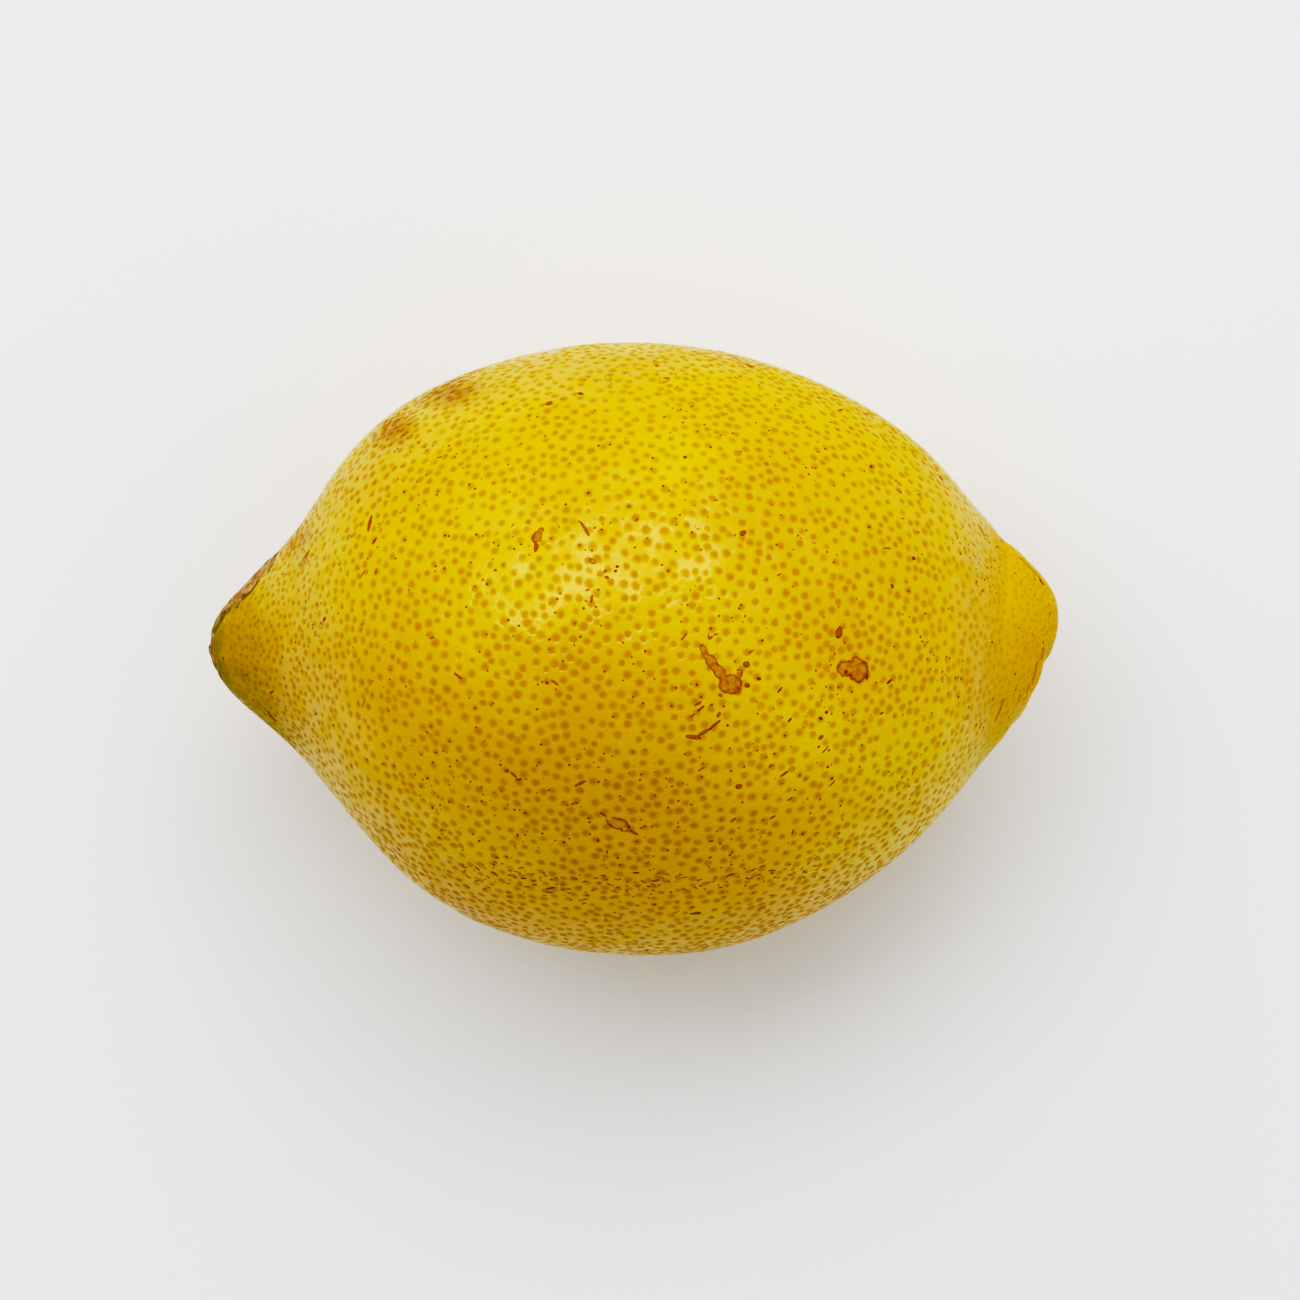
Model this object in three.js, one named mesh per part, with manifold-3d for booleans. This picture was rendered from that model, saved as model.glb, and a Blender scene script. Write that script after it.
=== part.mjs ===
// A whole lemon, lying on its side. Units are millimetres, +Z is up.
//
// The fruit grew as one body, so it is one closed mesh. Its long axis runs along X, with the stem end at
// -X and the blossom end, which carries the nipple, at +X. The origin is on the surface that the fruit
// rests on, under the middle of its box.

import * as THREE from "three";
import { mergeVertices } from "three/addons/utils/BufferGeometryUtils.js";
import Module from "manifold-3d";

// Driving dimensions
const LENGTH = 88; // from the stem scar to the tip of the nipple
const BELLY_RADIUS = 31.6; // half the width at the widest place
const HEIGHT_SHARE = 0.985; // a lying fruit is a little lower than it is wide
const END_RISE = 0.9; // both ends stand this much above the middle of the belly
const FLAT_DEPTH = 0.55; // how much of the round belly the resting spot takes away

// Relief of the peel
const SWELL = 0.3; // broad, shallow lumps of a grown fruit
const SWELL_TWO = 13; // how slowly the lumps that go round in two change along the fruit
const SWELL_THREE = 17; // and those that go round in three
const SWELL_PHASE = 1; // so that the two don't rise at the same place
const FOLDS = 5; // one behind each sepal that the fruit once had
const FOLD_HEIGHT = 0.16;
const FOLD_REACH = 7; // how far along the fruit the folds fade out
const FURROW_DEPTH = 0.42; // the ring-shaped furrow at the foot of the nipple
const FURROW_WIDTH = 1;
const FURROW_X = 37.2; // the middle of the furrow along the fruit
const FURROW_SLANT = 1; // it lies this much further out on one side, and further in across from it
const FURROW_TURN = 0.6; // the side where it is furthest out, as an angle below +Y in radians
const PORE_DEPTH = 0.26; // the pits over the oil glands, drawn larger than life
const PORE_MARGIN = 8; // no pits as near as this to the axis, which leaves the tips smooth
const REST_MARGIN = 1; // no pits as low as this above the resting level
const PORE_SEED = 7;

// Facets
const BELLY_FACET = 1.74; // the length of a facet's edge on the belly
const TIP_FACET = 0.5; // and at the two tips
const FACET_GROWTH = 0.19; // how fast it grows with the radius from one to the other
const ROW_SHARE = 0.88; // the spacing of the rings, as a share of that length
const FEWEST_SIDES = 8; // of a ring
const CURVE_STEPS = 2000; // for measuring along the outline

// The outline, from the stem scar to the tip of the nipple. Each row has the share of the length, the
// share of the belly's radius, and how far the middle of that section leans towards +Y in millimetres.
const OUTLINE = [
  [0.001, 0, -0.4], // stump of the stalk, in the middle of the stem scar
  [0, 0.038, -0.4],
  [0.0042, 0.056, -0.35], // groove round the stump
  [0.0046, 0.08, -0.15], // lip of the scar
  [0.0235, 0.158, -0.15],
  [0.066, 0.264, 0.2], // stem neck
  [0.107, 0.374, 0.75],
  [0.152, 0.538, 1.4], // foot of the neck
  [0.211, 0.728, 1.05],
  [0.2705, 0.842, 0.5],
  [0.345, 0.932, 0.05],
  [0.42, 0.983, -0.05],
  [0.51, 1, -0.15], // belly
  [0.591, 0.982, -0.3],
  [0.697, 0.889, 0],
  [0.792, 0.737, 0.42],
  [0.857, 0.579, 0.8], // foot of the nipple
  [0.91, 0.396, 0.85],
  [0.951, 0.29, 1.1],
  [0.981, 0.164, 2.4],
  [0.9965, 0.072, 3.5],
  [1, 0.024, 3.8],
  [0.9985, 0, 3.9], // dimple left by the flower
];

const HALF_LENGTH = LENGTH / 2;
const REST_LEVEL = FLAT_DEPTH - BELLY_RADIUS * HEIGHT_SHARE;

const wasm = await Module();
wasm.setup();

// Seeded random numbers from 0 to 1, the same at each run, by a linear congruential generator
const RANDOM_FACTOR = 1664525;
const RANDOM_STEP = 1013904223;
const RANDOM_RANGE = 2 ** 32;

function randomSource(seed) {
  let state = seed;
  return () => {
    state = (state * RANDOM_FACTOR + RANDOM_STEP) % RANDOM_RANGE;
    return state / RANDOM_RANGE;
  };
}

function facetEdge(radius) {
  return Math.min(BELLY_FACET, TIP_FACET + FACET_GROWTH * radius);
}

// Sections of the fruit, each as its place along X, its lean and its radius, set closer at the tips
function sections() {
  const curve = new THREE.CatmullRomCurve3(
    OUTLINE.map(
      ([along, wide, lean]) => new THREE.Vector3(along * LENGTH - HALF_LENGTH, lean, wide * BELLY_RADIUS),
    ),
  );
  curve.arcLengthDivisions = CURVE_STEPS;
  const length = curve.getLength();
  const stops = [0];
  while (stops.at(-1) < length) {
    const radius = curve.getPointAt(stops.at(-1) / length).z;
    stops.push(stops.at(-1) + ROW_SHARE * facetEdge(radius));
  }
  return stops.map((stop) => curve.getPointAt(stop / stops.at(-1)));
}

// A bump that is 1 at the middle and has faded out some widths away
function bump(distance, width) {
  return Math.exp(-((distance / width) ** 2));
}

// How far the peel stands out of the plain outline, at an angle from +Y round the axis
function relief(x, radius, angle) {
  const two = Math.sin(2 * angle) * Math.cos(x / SWELL_TWO + SWELL_PHASE);
  const three = Math.sin(3 * angle) * Math.cos(x / SWELL_THREE);
  const swell = (SWELL * ((two + three) / 2) * radius) / BELLY_RADIUS;
  const foldsAt = FOLD_REACH / 2 - HALF_LENGTH;
  const folds = FOLD_HEIGHT * Math.cos(FOLDS * angle) * bump(x - foldsAt, FOLD_REACH / 2);
  const furrowAt = FURROW_X + FURROW_SLANT * Math.cos(angle + FURROW_TURN);
  const furrow = FURROW_DEPTH * bump(x - furrowAt, FURROW_WIDTH);
  return swell + folds - furrow;
}

// One ring of points round a section, turned half a step on every other ring
function ring({ x, y: lean, z: radius }, index) {
  const sides = Math.max(FEWEST_SIDES, Math.round((2 * Math.PI * radius) / facetEdge(radius)));
  const rise = END_RISE * (x / HALF_LENGTH) ** 2;
  return Array.from({ length: sides }, (_, side) => {
    const angle = (2 * Math.PI * (side + turnOf(index))) / sides;
    const reach = radius + relief(x, radius, angle);
    return new THREE.Vector3(
      x,
      lean + reach * Math.cos(angle),
      rise + reach * Math.sin(angle) * HEIGHT_SHARE,
    );
  });
}

function turnOf(index) {
  return (index % 2) / 2;
}

// Triangles between two neighbouring rings, which always step on along the ring that lags behind
function strip(here, next) {
  const faces = [];
  let i = 0;
  let j = 0;
  while (i < here.sides || j < next.sides) {
    const a = here.start + (i % here.sides);
    const b = next.start + (j % next.sides);
    const hereIsBehind = (i + 1 + here.turn) / here.sides < (j + 1 + next.turn) / next.sides;
    if (j === next.sides || (i < here.sides && hereIsBehind)) {
      i += 1;
      faces.push(a, here.start + (i % here.sides), b);
    } else {
      j += 1;
      faces.push(a, next.start + (j % next.sides), b);
    }
  }
  return faces;
}

// Triangles from one end's own vertex to the ring next to it
function cap(tip, { start, sides }, outward) {
  return Array.from({ length: sides }, (_, side) => {
    const a = start + side;
    const b = start + ((side + 1) % sides);
    return outward ? [tip, a, b] : [tip, b, a];
  }).flat();
}

// The peel as one closed skin over all the rings
function skin() {
  const all = sections();
  const tips = [all.shift(), all.pop()].map(({ x, y }) => new THREE.Vector3(x, y, END_RISE));
  const rings = all.map(ring);
  const vertices = [...tips, ...rings.flat()];
  let start = tips.length;
  const spans = rings.map(({ length: sides }, index) => {
    start += sides;
    return { start: start - sides, sides, turn: turnOf(index) };
  });
  const faces = [
    ...cap(0, spans[0], false),
    ...spans.slice(1).flatMap((span, index) => strip(spans[index], span)),
    ...cap(1, spans.at(-1), true),
  ];
  return new THREE.BufferGeometry().setFromPoints(vertices).setIndex(faces);
}

// For each vertex, the vertices that share an edge with it
function neighboursOf(geometry) {
  const faces = geometry.index.array;
  const found = Array.from({ length: geometry.attributes.position.count }, () => new Set());
  for (let f = 0; f < faces.length; f += 3) {
    const corners = faces.slice(f, f + 3);
    corners.forEach((a) => corners.forEach((b) => a !== b && found[a].add(b)));
  }
  return found;
}

// Pits the peel: in a random order, each vertex that touches no pit yet is pushed in
function pit(geometry) {
  geometry.computeVertexNormals();
  const { position, normal } = geometry.attributes;
  const neighbours = neighboursOf(geometry);
  const random = randomSource(PORE_SEED);
  const order = neighbours.map((_, vertex) => [random(), vertex]).sort((a, b) => a[0] - b[0]);
  const pits = new Set();
  for (const [, vertex] of order) {
    const point = new THREE.Vector3().fromBufferAttribute(position, vertex);
    const onTip = Math.hypot(point.y, point.z) < PORE_MARGIN;
    const nearRest = point.z < REST_LEVEL + REST_MARGIN;
    if (onTip || nearRest || [...neighbours[vertex]].some((other) => pits.has(other))) continue;
    pits.add(vertex);
    point.addScaledVector(new THREE.Vector3().fromBufferAttribute(normal, vertex), -PORE_DEPTH);
    position.setXYZ(vertex, ...point);
  }
}

// A closed mesh as a solid that can be cut
function solidOf(geometry) {
  for (const name of ["normal", "uv"]) geometry.deleteAttribute(name);
  const merged = mergeVertices(geometry);
  return new wasm.Manifold(
    new wasm.Mesh({
      numProp: 3,
      vertProperties: merged.attributes.position.array,
      triVerts: new Uint32Array(merged.index.array),
    }),
  );
}

function geometryOf(solid) {
  const { vertProperties, triVerts } = solid.getMesh();
  return new THREE.BufferGeometry()
    .setAttribute("position", new THREE.BufferAttribute(vertProperties, 3))
    .setIndex(new THREE.BufferAttribute(triVerts, 1));
}

// What lies under the resting level is cut away, so the fruit lies still on a small flat spot
function withRestingSpot(geometry) {
  const block = new THREE.BoxGeometry(LENGTH, LENGTH, LENGTH);
  block.translate(0, 0, REST_LEVEL - HALF_LENGTH);
  return geometryOf(solidOf(geometry).subtract(solidOf(block)));
}

function lemon() {
  const geometry = skin();
  pit(geometry);
  const peel = new THREE.MeshStandardMaterial({ color: "#d8ab06", roughness: 0.45, metalness: 0 });
  const mesh = new THREE.Mesh(withRestingSpot(geometry), peel);
  mesh.name = "lemon";
  mesh.geometry.computeBoundingBox();
  const { min, max } = mesh.geometry.boundingBox;
  mesh.position.set(-(min.x + max.x) / 2, -(min.y + max.y) / 2, -min.z);
  return mesh;
}

const group = new THREE.Group();
group.add(lemon());
export default group;
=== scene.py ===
# %% [markdown]
# # A lemon, finished in Blender
#
# This lesson dresses a plain solid of a lemon as a real fruit. The solid is right in size and shape, but
# it is made of flat facets. A real peel is smooth and waxy, and full of small oil glands that show
# as soft ochre dots, each in a shallow pit of its own.
#
# We work in four steps. First we model a fine, even skin over the solid. Then we strew the glands and
# the marks of a grown fruit over it, and press them in. Then comes the material, and last the stage.
#
# The first cell loads the solid. It is our frame: we measure it and copy it, but never change it.

# %% Load the frame
import math

import bpy
import numpy as np
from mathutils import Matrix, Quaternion, Vector
from mathutils.bvhtree import BVHTree
from mathutils.kdtree import KDTree
from mathutils.noise import noise as noise_at


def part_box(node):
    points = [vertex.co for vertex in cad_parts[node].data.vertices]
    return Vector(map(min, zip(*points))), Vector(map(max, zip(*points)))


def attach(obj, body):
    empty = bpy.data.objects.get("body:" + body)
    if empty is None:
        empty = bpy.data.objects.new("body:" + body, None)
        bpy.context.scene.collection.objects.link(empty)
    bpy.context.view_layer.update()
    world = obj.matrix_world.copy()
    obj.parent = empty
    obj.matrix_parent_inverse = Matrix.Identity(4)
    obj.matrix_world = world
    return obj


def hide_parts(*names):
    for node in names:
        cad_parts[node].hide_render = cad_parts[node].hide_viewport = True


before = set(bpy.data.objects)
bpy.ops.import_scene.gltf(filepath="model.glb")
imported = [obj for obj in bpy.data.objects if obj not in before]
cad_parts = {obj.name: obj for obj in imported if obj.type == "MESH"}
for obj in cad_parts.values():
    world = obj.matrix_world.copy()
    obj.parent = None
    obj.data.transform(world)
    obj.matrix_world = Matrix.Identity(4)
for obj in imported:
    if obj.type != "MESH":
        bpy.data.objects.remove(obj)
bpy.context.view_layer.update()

low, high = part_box("lemon")
middle = (low + high) / 2
half = (high - low) / 2
MM = 0.001  # one millimetre in Blender's metres
print("The fruit is", [round(side / MM, 1) for side in high - low], "mm along X, Y and Z")

# %% [markdown]
# ## A guide to lay the skin on
#
# We copy the solid's mesh to have a guide. Its triangles come in loose, so doubles are merged first.
# The solid also has pits drawn larger than life, which we don't want in the skin, because the real
# glands come later. Smoothing the copy takes them out and leaves the shape.

# %% Copy the solid and smooth its pits away
def pick(piece):
    """Selects one object alone and makes it the active one, as a click does."""
    bpy.ops.object.select_all(action="DESELECT")
    piece.select_set(True)
    bpy.context.view_layer.objects.active = piece


def soften(piece, rounds):
    """Smooths all of a piece in edit mode."""
    pick(piece)
    bpy.ops.object.mode_set(mode="EDIT")
    bpy.ops.mesh.select_all(action="SELECT")
    bpy.ops.mesh.vertices_smooth(factor=0.5, repeat=rounds)
    bpy.ops.object.mode_set(mode="OBJECT")


PIT_SMOOTHING = 8
guide = bpy.data.objects.new("guide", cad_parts["lemon"].data.copy())
bpy.context.scene.collection.objects.link(guide)
pick(guide)
bpy.ops.object.mode_set(mode="EDIT")
bpy.ops.mesh.select_all(action="SELECT")
bpy.ops.mesh.remove_doubles(threshold=0.001 * MM)
bpy.ops.object.mode_set(mode="OBJECT")
soften(guide, PIT_SMOOTHING)
print("The guide has", len(guide.data.vertices), "vertices")

# %% [markdown]
# ## The skin
#
# The peel is one closed skin. A sphere of rings and segments would do, but its quads get tiny at the
# poles and long on the belly. A cube that is subdivided and cast into a ball has even quads all over,
# so every gland will get its share. We stretch the ball to the fruit's box and shrink it onto the
# guide. A few helpers come first, for steps that we take again and again.

# %% Helpers for modelling
def modify(piece, kind, **settings):
    """Adds a modifier with these settings and applies it."""
    pick(piece)
    modifier = piece.modifiers.new(kind.title(), kind)
    for name, value in settings.items():
        setattr(modifier, name, value)
    bpy.ops.object.modifier_apply(modifier=modifier.name)


def stretch(piece, factors):
    """Scales all of a piece in edit mode, about its own origin."""
    pick(piece)
    bpy.ops.object.mode_set(mode="EDIT")
    bpy.ops.mesh.select_all(action="SELECT")
    bpy.ops.transform.resize(value=factors)
    bpy.ops.object.mode_set(mode="OBJECT")


def corners_of(piece):
    """The piece's vertices as rows of X, Y and Z in millimetres, in the frame."""
    rows = np.empty(len(piece.data.vertices) * 3)
    piece.data.vertices.foreach_get("co", rows)
    return rows.reshape(-1, 3) / MM


def put_corners(piece, rows):
    """Moves the piece's vertices to such rows."""
    piece.data.vertices.foreach_set("co", (rows * MM).ravel())
    piece.data.update()


# %% Grow a ball from a cube
BALL_LEVELS = 4

bpy.ops.object.select_all(action="DESELECT")
bpy.ops.mesh.primitive_cube_add(size=1, location=middle)
skin = bpy.context.object
skin.name = "lemon_peel"
modify(skin, "SUBSURF", levels=BALL_LEVELS, render_levels=BALL_LEVELS)
modify(skin, "CAST", cast_type="SPHERE", factor=1)
ball_radius = max(skin.dimensions) / 2
stretch(skin, [side / ball_radius for side in half])
bpy.ops.object.transform_apply(location=True, rotation=False, scale=False)
print("The ball has", len(skin.data.polygons), "quads")

# %% [markdown]
# Each wrap bunches some quads together, so we smooth and wrap a few times in turn. Then the skin is
# subdivided again, until a quad is about 0.4 mm wide.

# %% Wrap the ball onto the guide
WRAPS = 3
WRAP_SMOOTHING, LAST_SMOOTHING = 4, 6

for _ in range(WRAPS):
    modify(skin, "SHRINKWRAP", target=guide)
    soften(skin, WRAP_SMOOTHING)
modify(skin, "SHRINKWRAP", target=guide)
modify(skin, "SUBSURF", levels=2, render_levels=2)
modify(skin, "SHRINKWRAP", target=guide)
soften(skin, LAST_SMOOTHING)
modify(skin, "SUBSURF", levels=1, render_levels=1)
bpy.data.objects.remove(guide)
print("The skin has", len(skin.data.polygons), "quads")

# %% [markdown]
# ## Lumps
#
# A grown fruit is never quite smooth: the peel rises and falls by a tenth of a millimetre over a few
# millimetres, which breaks up the gloss. The Displace modifier does that with a cloud pattern, as one
# broad set of lumps and one fine one.

# %% Raise broad and fine lumps
BROAD_LUMPS, FINE_LUMPS = (11, 0.35), (2.6, 0.085)  # their size and height


def raise_lumps(piece, size, height):
    """Moves the skin along its normals by a cloud pattern of one size."""
    clouds = bpy.data.textures.new("lumps", "CLOUDS")
    clouds.noise_scale = size * MM
    clouds.noise_depth = 1
    strength = height * MM
    modify(piece, "DISPLACE", texture=clouds, texture_coords="LOCAL", strength=strength, mid_level=0.5)
    bpy.data.textures.remove(clouds)


raise_lumps(skin, *BROAD_LUMPS)
raise_lumps(skin, *FINE_LUMPS)
print("The lumps rise", BROAD_LUMPS[1] / 2, "and", FINE_LUMPS[1] / 2, "mm at most")

# %% [markdown]
# ## The furrow
#
# A few features are finer than the facets of the solid, so they are drawn here. Each is a dent of some
# depth, or a bump, which is a dent of less than nothing. We add them all up, and push the skin in along
# its normals at the end. Three helpers come first.

# %% Helpers for dents
def normals_of(piece):
    """The piece's normals, one row for each vertex."""
    rows = np.empty(len(piece.data.vertices) * 3)
    piece.data.vertices.foreach_get("normal", rows)
    return rows.reshape(-1, 3)


def bump(distance, width):
    """A bump that is 1 at its middle and fades out over the given width."""
    return np.exp(-((distance / width) ** 2))


def ramp(value, start, end):
    """Goes smoothly from 0 at start to 1 at end."""
    share = np.clip((value - start) / (end - start), 0, 1)
    return share * share * (3 - 2 * share)


# %% [markdown]
# The furrow runs round the foot of the nipple. It stands at a slant, and is deepest on the far side.

# %% Measure the furrow
AXIS_HEIGHT = middle.z / MM
STEM_X, TIP_X = low.x / MM, high.x / MM
FURROW_X, FURROW_SLANT, FURROW_TURN = 37.2, 1.0, 0.6
FURROW_DEPTH, FURROW_WIDTH = 0.24, 0.8
FAINTEST = 0.3  # the share of its depth that the furrow has on the near side


def angle_of(rows):
    """The angle round the fruit's axis, from +Y towards +Z, in radians."""
    return np.arctan2(rows[:, 2] - AXIS_HEIGHT, rows[:, 1])


def furrow_at(rows):
    """Where the furrow runs along X. It stands at a slant to the axis."""
    return FURROW_X + FURROW_SLANT * np.cos(angle_of(rows) + FURROW_TURN)


rows = corners_of(skin)
far_side = 0.5 + 0.5 * np.cos(angle_of(rows))
furrow_depth = FURROW_DEPTH * (FAINTEST + (1 - FAINTEST) * far_side)
dent = furrow_depth * bump(rows[:, 0] - furrow_at(rows), FURROW_WIDTH)
print("The furrow is", round(dent.max(), 2), "mm deep")

# %% [markdown]
# ## The stem end
#
# The stalk left a round scar. The stump of the stalk still sits in it like a button, in a shallow
# groove, and the skin is drawn into wrinkles round it. A strip of cork, dry and rough, runs from the
# scar up the neck.

# %% Measure the stem scar
SCAR_Y, SCAR_RISE = -0.9, 0.4  # the middle of the stem scar
SCAR_END = 6  # how far from the tip the scar's surroundings end
BUTTON_RADIUS, BUTTON_HEIGHT = 1.2, 0.06  # the dry stump of the stalk
GROOVE_RADIUS, GROOVE_DEPTH, GROOVE_WIDTH = 1.9, 0.16, 0.4
WRINKLES, WRINKLE_HEIGHT, WRINKLE_RADIUS, WRINKLE_WIDTH = 9, 0.07, 4.2, 2.2


def from_stem_scar(rows):
    """Millimetres from the middle of the stem scar, and far away on the rest of the fruit."""
    across = np.hypot(rows[:, 1] - SCAR_Y, rows[:, 2] - AXIS_HEIGHT - SCAR_RISE)
    return across + 3 * np.maximum(rows[:, 0] - STEM_X - SCAR_END, 0)


stem_radius = from_stem_scar(rows)
round_scar = np.arctan2(rows[:, 2] - AXIS_HEIGHT - SCAR_RISE, rows[:, 1] - SCAR_Y)
dent += GROOVE_DEPTH * bump(stem_radius - GROOVE_RADIUS, GROOVE_WIDTH)
dent -= BUTTON_HEIGHT * (1 - ramp(stem_radius, 0.6 * BUTTON_RADIUS, 1.25 * BUTTON_RADIUS))
dent += WRINKLE_HEIGHT * np.cos(WRINKLES * round_scar) * bump(stem_radius - WRINKLE_RADIUS, WRINKLE_WIDTH)
print("The stem scar has", WRINKLES, "wrinkles round it")

# %% Measure the corky strip
STRIP_ANGLE = 17  # where the strip runs, in degrees from +Y towards +Z
STRIP_X = [-46, -44.2, -42, -40.8, -39.6, -38.6, -37.6, -36.6, -35, -30]
STRIP_HALF = [1.6, 1.8, 2.2, 2.5, 3.4, 3.5, 2.3, 0.2, -2.2, -8]  # half its width at each of these
STRIP_HEIGHT = 0.16
STRIP_ROUGHNESS, STRIP_GRAIN = 0.22, 1.1  # the height and the size of its rough grain


def into_strip(rows):
    """Millimetres from the edge of the corky strip, less than 0 inside it."""
    out = np.hypot(rows[:, 1], rows[:, 2] - AXIS_HEIGHT)
    across = 2 * out * np.abs(np.sin((angle_of(rows) - math.radians(STRIP_ANGLE)) / 2))
    return across - np.interp(rows[:, 0], STRIP_X, STRIP_HALF)


in_strip = 1 - ramp(into_strip(rows), -0.7, 0.3)
dent -= STRIP_HEIGHT * in_strip
for index in np.flatnonzero(in_strip):
    dent[index] -= in_strip[index] * STRIP_ROUGHNESS * noise_at(Vector(rows[index]) / STRIP_GRAIN)
print("The corky strip covers", int((in_strip > 0.5).sum()), "vertices")

# %% [markdown]
# ## The nipple
#
# The nipple has small folds on its near side, a notch in its tip with slack skin round it, and a
# dimple where the flower once was. With these all the dents are known, and the skin is pushed in.

# %% Measure the nipple's folds and push all dents in
# x, angle from +Y, width and depth of each fold
FOLDS = [(42.1, 168, 0.45, 0.4), (40.7, 166, 0.45, 0.26), (38.6, 172, 0.6, 0.22)]
FOLD_REACH = math.radians(20)
STYLE_RADIUS, STYLE_DEPTH, STYLE_DROP = 0.8, 0.25, 1.6  # the dimple, and how far below the tip it is
NOTCH_Y, NOTCH_WIDTH, NOTCH_DEPTH = -1.7, 0.45, 0.4
NOTCH_REACH = 3.5  # how far the notch runs up and down
SLACK_Y, SLACK_WIDTH, SLACK_DEPTH = -2.6, 1.8, 0.3


def from_style_scar(rows):
    """Millimetres from the small scar that the flower left on the nipple."""
    tip = rows[rows[:, 0].argmax()] - [0, 0, STYLE_DROP]
    return np.hypot(rows[:, 1] - tip[1], rows[:, 2] - tip[2]) + 3 * np.maximum(TIP_X - 4 - rows[:, 0], 0)


for x, angle, width, depth in FOLDS:
    from_fold = np.abs(angle_of(rows) - math.radians(angle))
    dent += depth * bump(rows[:, 0] - x, width) * bump(from_fold, FOLD_REACH)
dent += STYLE_DEPTH * bump(from_style_scar(rows), STYLE_RADIUS)
on_tip = ramp(rows[:, 0], 40.3, 42) * bump(rows[:, 2] - AXIS_HEIGHT, NOTCH_REACH)
dent += NOTCH_DEPTH * on_tip * bump(rows[:, 1] - NOTCH_Y, NOTCH_WIDTH)
dent += SLACK_DEPTH * on_tip * bump(rows[:, 1] - SLACK_Y, SLACK_WIDTH)
rows -= dent[:, None] * normals_of(skin)
put_corners(skin, rows)
print("The dents go from", round(dent.min(), 2), "to", round(dent.max(), 2), "mm")

# %% [markdown]
# ## The right size, and a flat spot to rest on
#
# Smoothing draws a shape in a little. So the skin is scaled to the solid's own box again. The lowest
# part of the belly is then set flat, where the soft fruit gives way under its own weight.

# %% Fit the skin to the box and flatten its resting spot
FLAT_REACH = 0.16  # the peel gives way by this many millimetres more where it rests

rows = corners_of(skin)
span = rows.max(axis=0) - rows.min(axis=0)
centre = (rows.max(axis=0) + rows.min(axis=0)) / 2
rows = (rows - centre) * (np.array(high - low) / MM + [0, 0, FLAT_REACH]) / span
rows += np.array(middle) / MM - [0, 0, FLAT_REACH / 2]
rows[:, 2] = np.maximum(rows[:, 2], 0)
put_corners(skin, rows)
pick(skin)
bpy.ops.object.shade_smooth()
print("The resting spot has", int((rows[:, 2] <= 0).sum()), "vertices")

# %% [markdown]
# ## Oil glands
#
# The dots on a lemon are oil glands. They lie about a millimetre apart, never in rows, and
# seldom touch. A noise texture can't do that well: its dots cut through the surface at any depth, so
# they vary far too much. Instead we strew points over the skin itself. We draw many random places,
# go through them in turn, and each place that is still free takes a gland and clears the space round it.
#
# The glands are smaller and closer on the neck, and small and faint on the nipple.

# %% Find even places on the skin
quads = np.empty(len(skin.data.loops), np.int32)
skin.data.loops.foreach_get("vertex_index", quads)
quads = quads.reshape(-1, 4)
rows = corners_of(skin)
normals = normals_of(skin)
areas = np.empty(len(quads))
skin.data.polygons.foreach_get("area", areas)


def across_quads(table, quad, u, v):
    """Blends a per-vertex table to a point inside each named quad."""
    a, b, c, d = (table[quads[quad, corner]] for corner in range(4))
    u, v = u[:, None], v[:, None]
    return (a * (1 - u) + b * u) * (1 - v) + (d * (1 - u) + c * u) * v


def strewn(count, draw):
    """Random places, even over the skin, with the skin's normal at each."""
    quad = draw.choice(len(quads), count, p=areas / areas.sum())
    u, v = draw.random((2, count))
    normal = across_quads(normals, quad, u, v)
    return across_quads(rows, quad, u, v), normal / np.linalg.norm(normal, axis=1, keepdims=True)


# %% Keep the places apart
def tree_of(points):
    """A tree that finds the nearest of these points fast."""
    tree = KDTree(len(points))
    for index, point in enumerate(points):
        tree.insert(point, index)
    tree.balance()
    return tree


def kept_apart(points, gaps):
    """The places that are taken when each one, in turn, clears the space round it."""
    tree = tree_of(points)
    free = np.ones(len(points), bool)
    taken = []
    for index, point in enumerate(points):
        if free[index]:
            taken.append(index)
            for _, other, _ in tree.find_range(point, gaps[index]):
                free[other] = False
    return taken


# %% Strew the glands over the skin
GLAND_SEED = 5
PLACES = 110_000
GLAND_GAP, GAP_SPREAD = 0.95, (0.72, 1.22)  # between the middles of two glands on the belly
GLAND_RADIUS, RADIUS_SPREAD = 0.4, (0.8, 1.16)
DEPTH_SPREAD = 0.66, 1
CLOSER, SMALLER = 0.38, 0.4  # how much closer and smaller the glands are at the very ends


def end_share(x):
    """0 on the belly, and 1 at either tip of the fruit."""
    return np.maximum(ramp(-x, 24, -STEM_X), ramp(x, 30, TIP_X))


draw = np.random.default_rng(GLAND_SEED)
places, place_normals = strewn(PLACES, draw)
gaps = GLAND_GAP * (1 - CLOSER * end_share(places[:, 0])) * draw.uniform(*GAP_SPREAD, PLACES)
taken = kept_apart(places, gaps)
glands, gland_normals = places[taken], place_normals[taken]
sizes = GLAND_RADIUS * (1 - SMALLER * end_share(glands[:, 0])) * draw.uniform(*RADIUS_SPREAD, len(glands))
print("The peel has", len(glands), "glands")

# %% [markdown]
# How deep a gland is also says how strongly it will show. That isn't the same all over.

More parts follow.
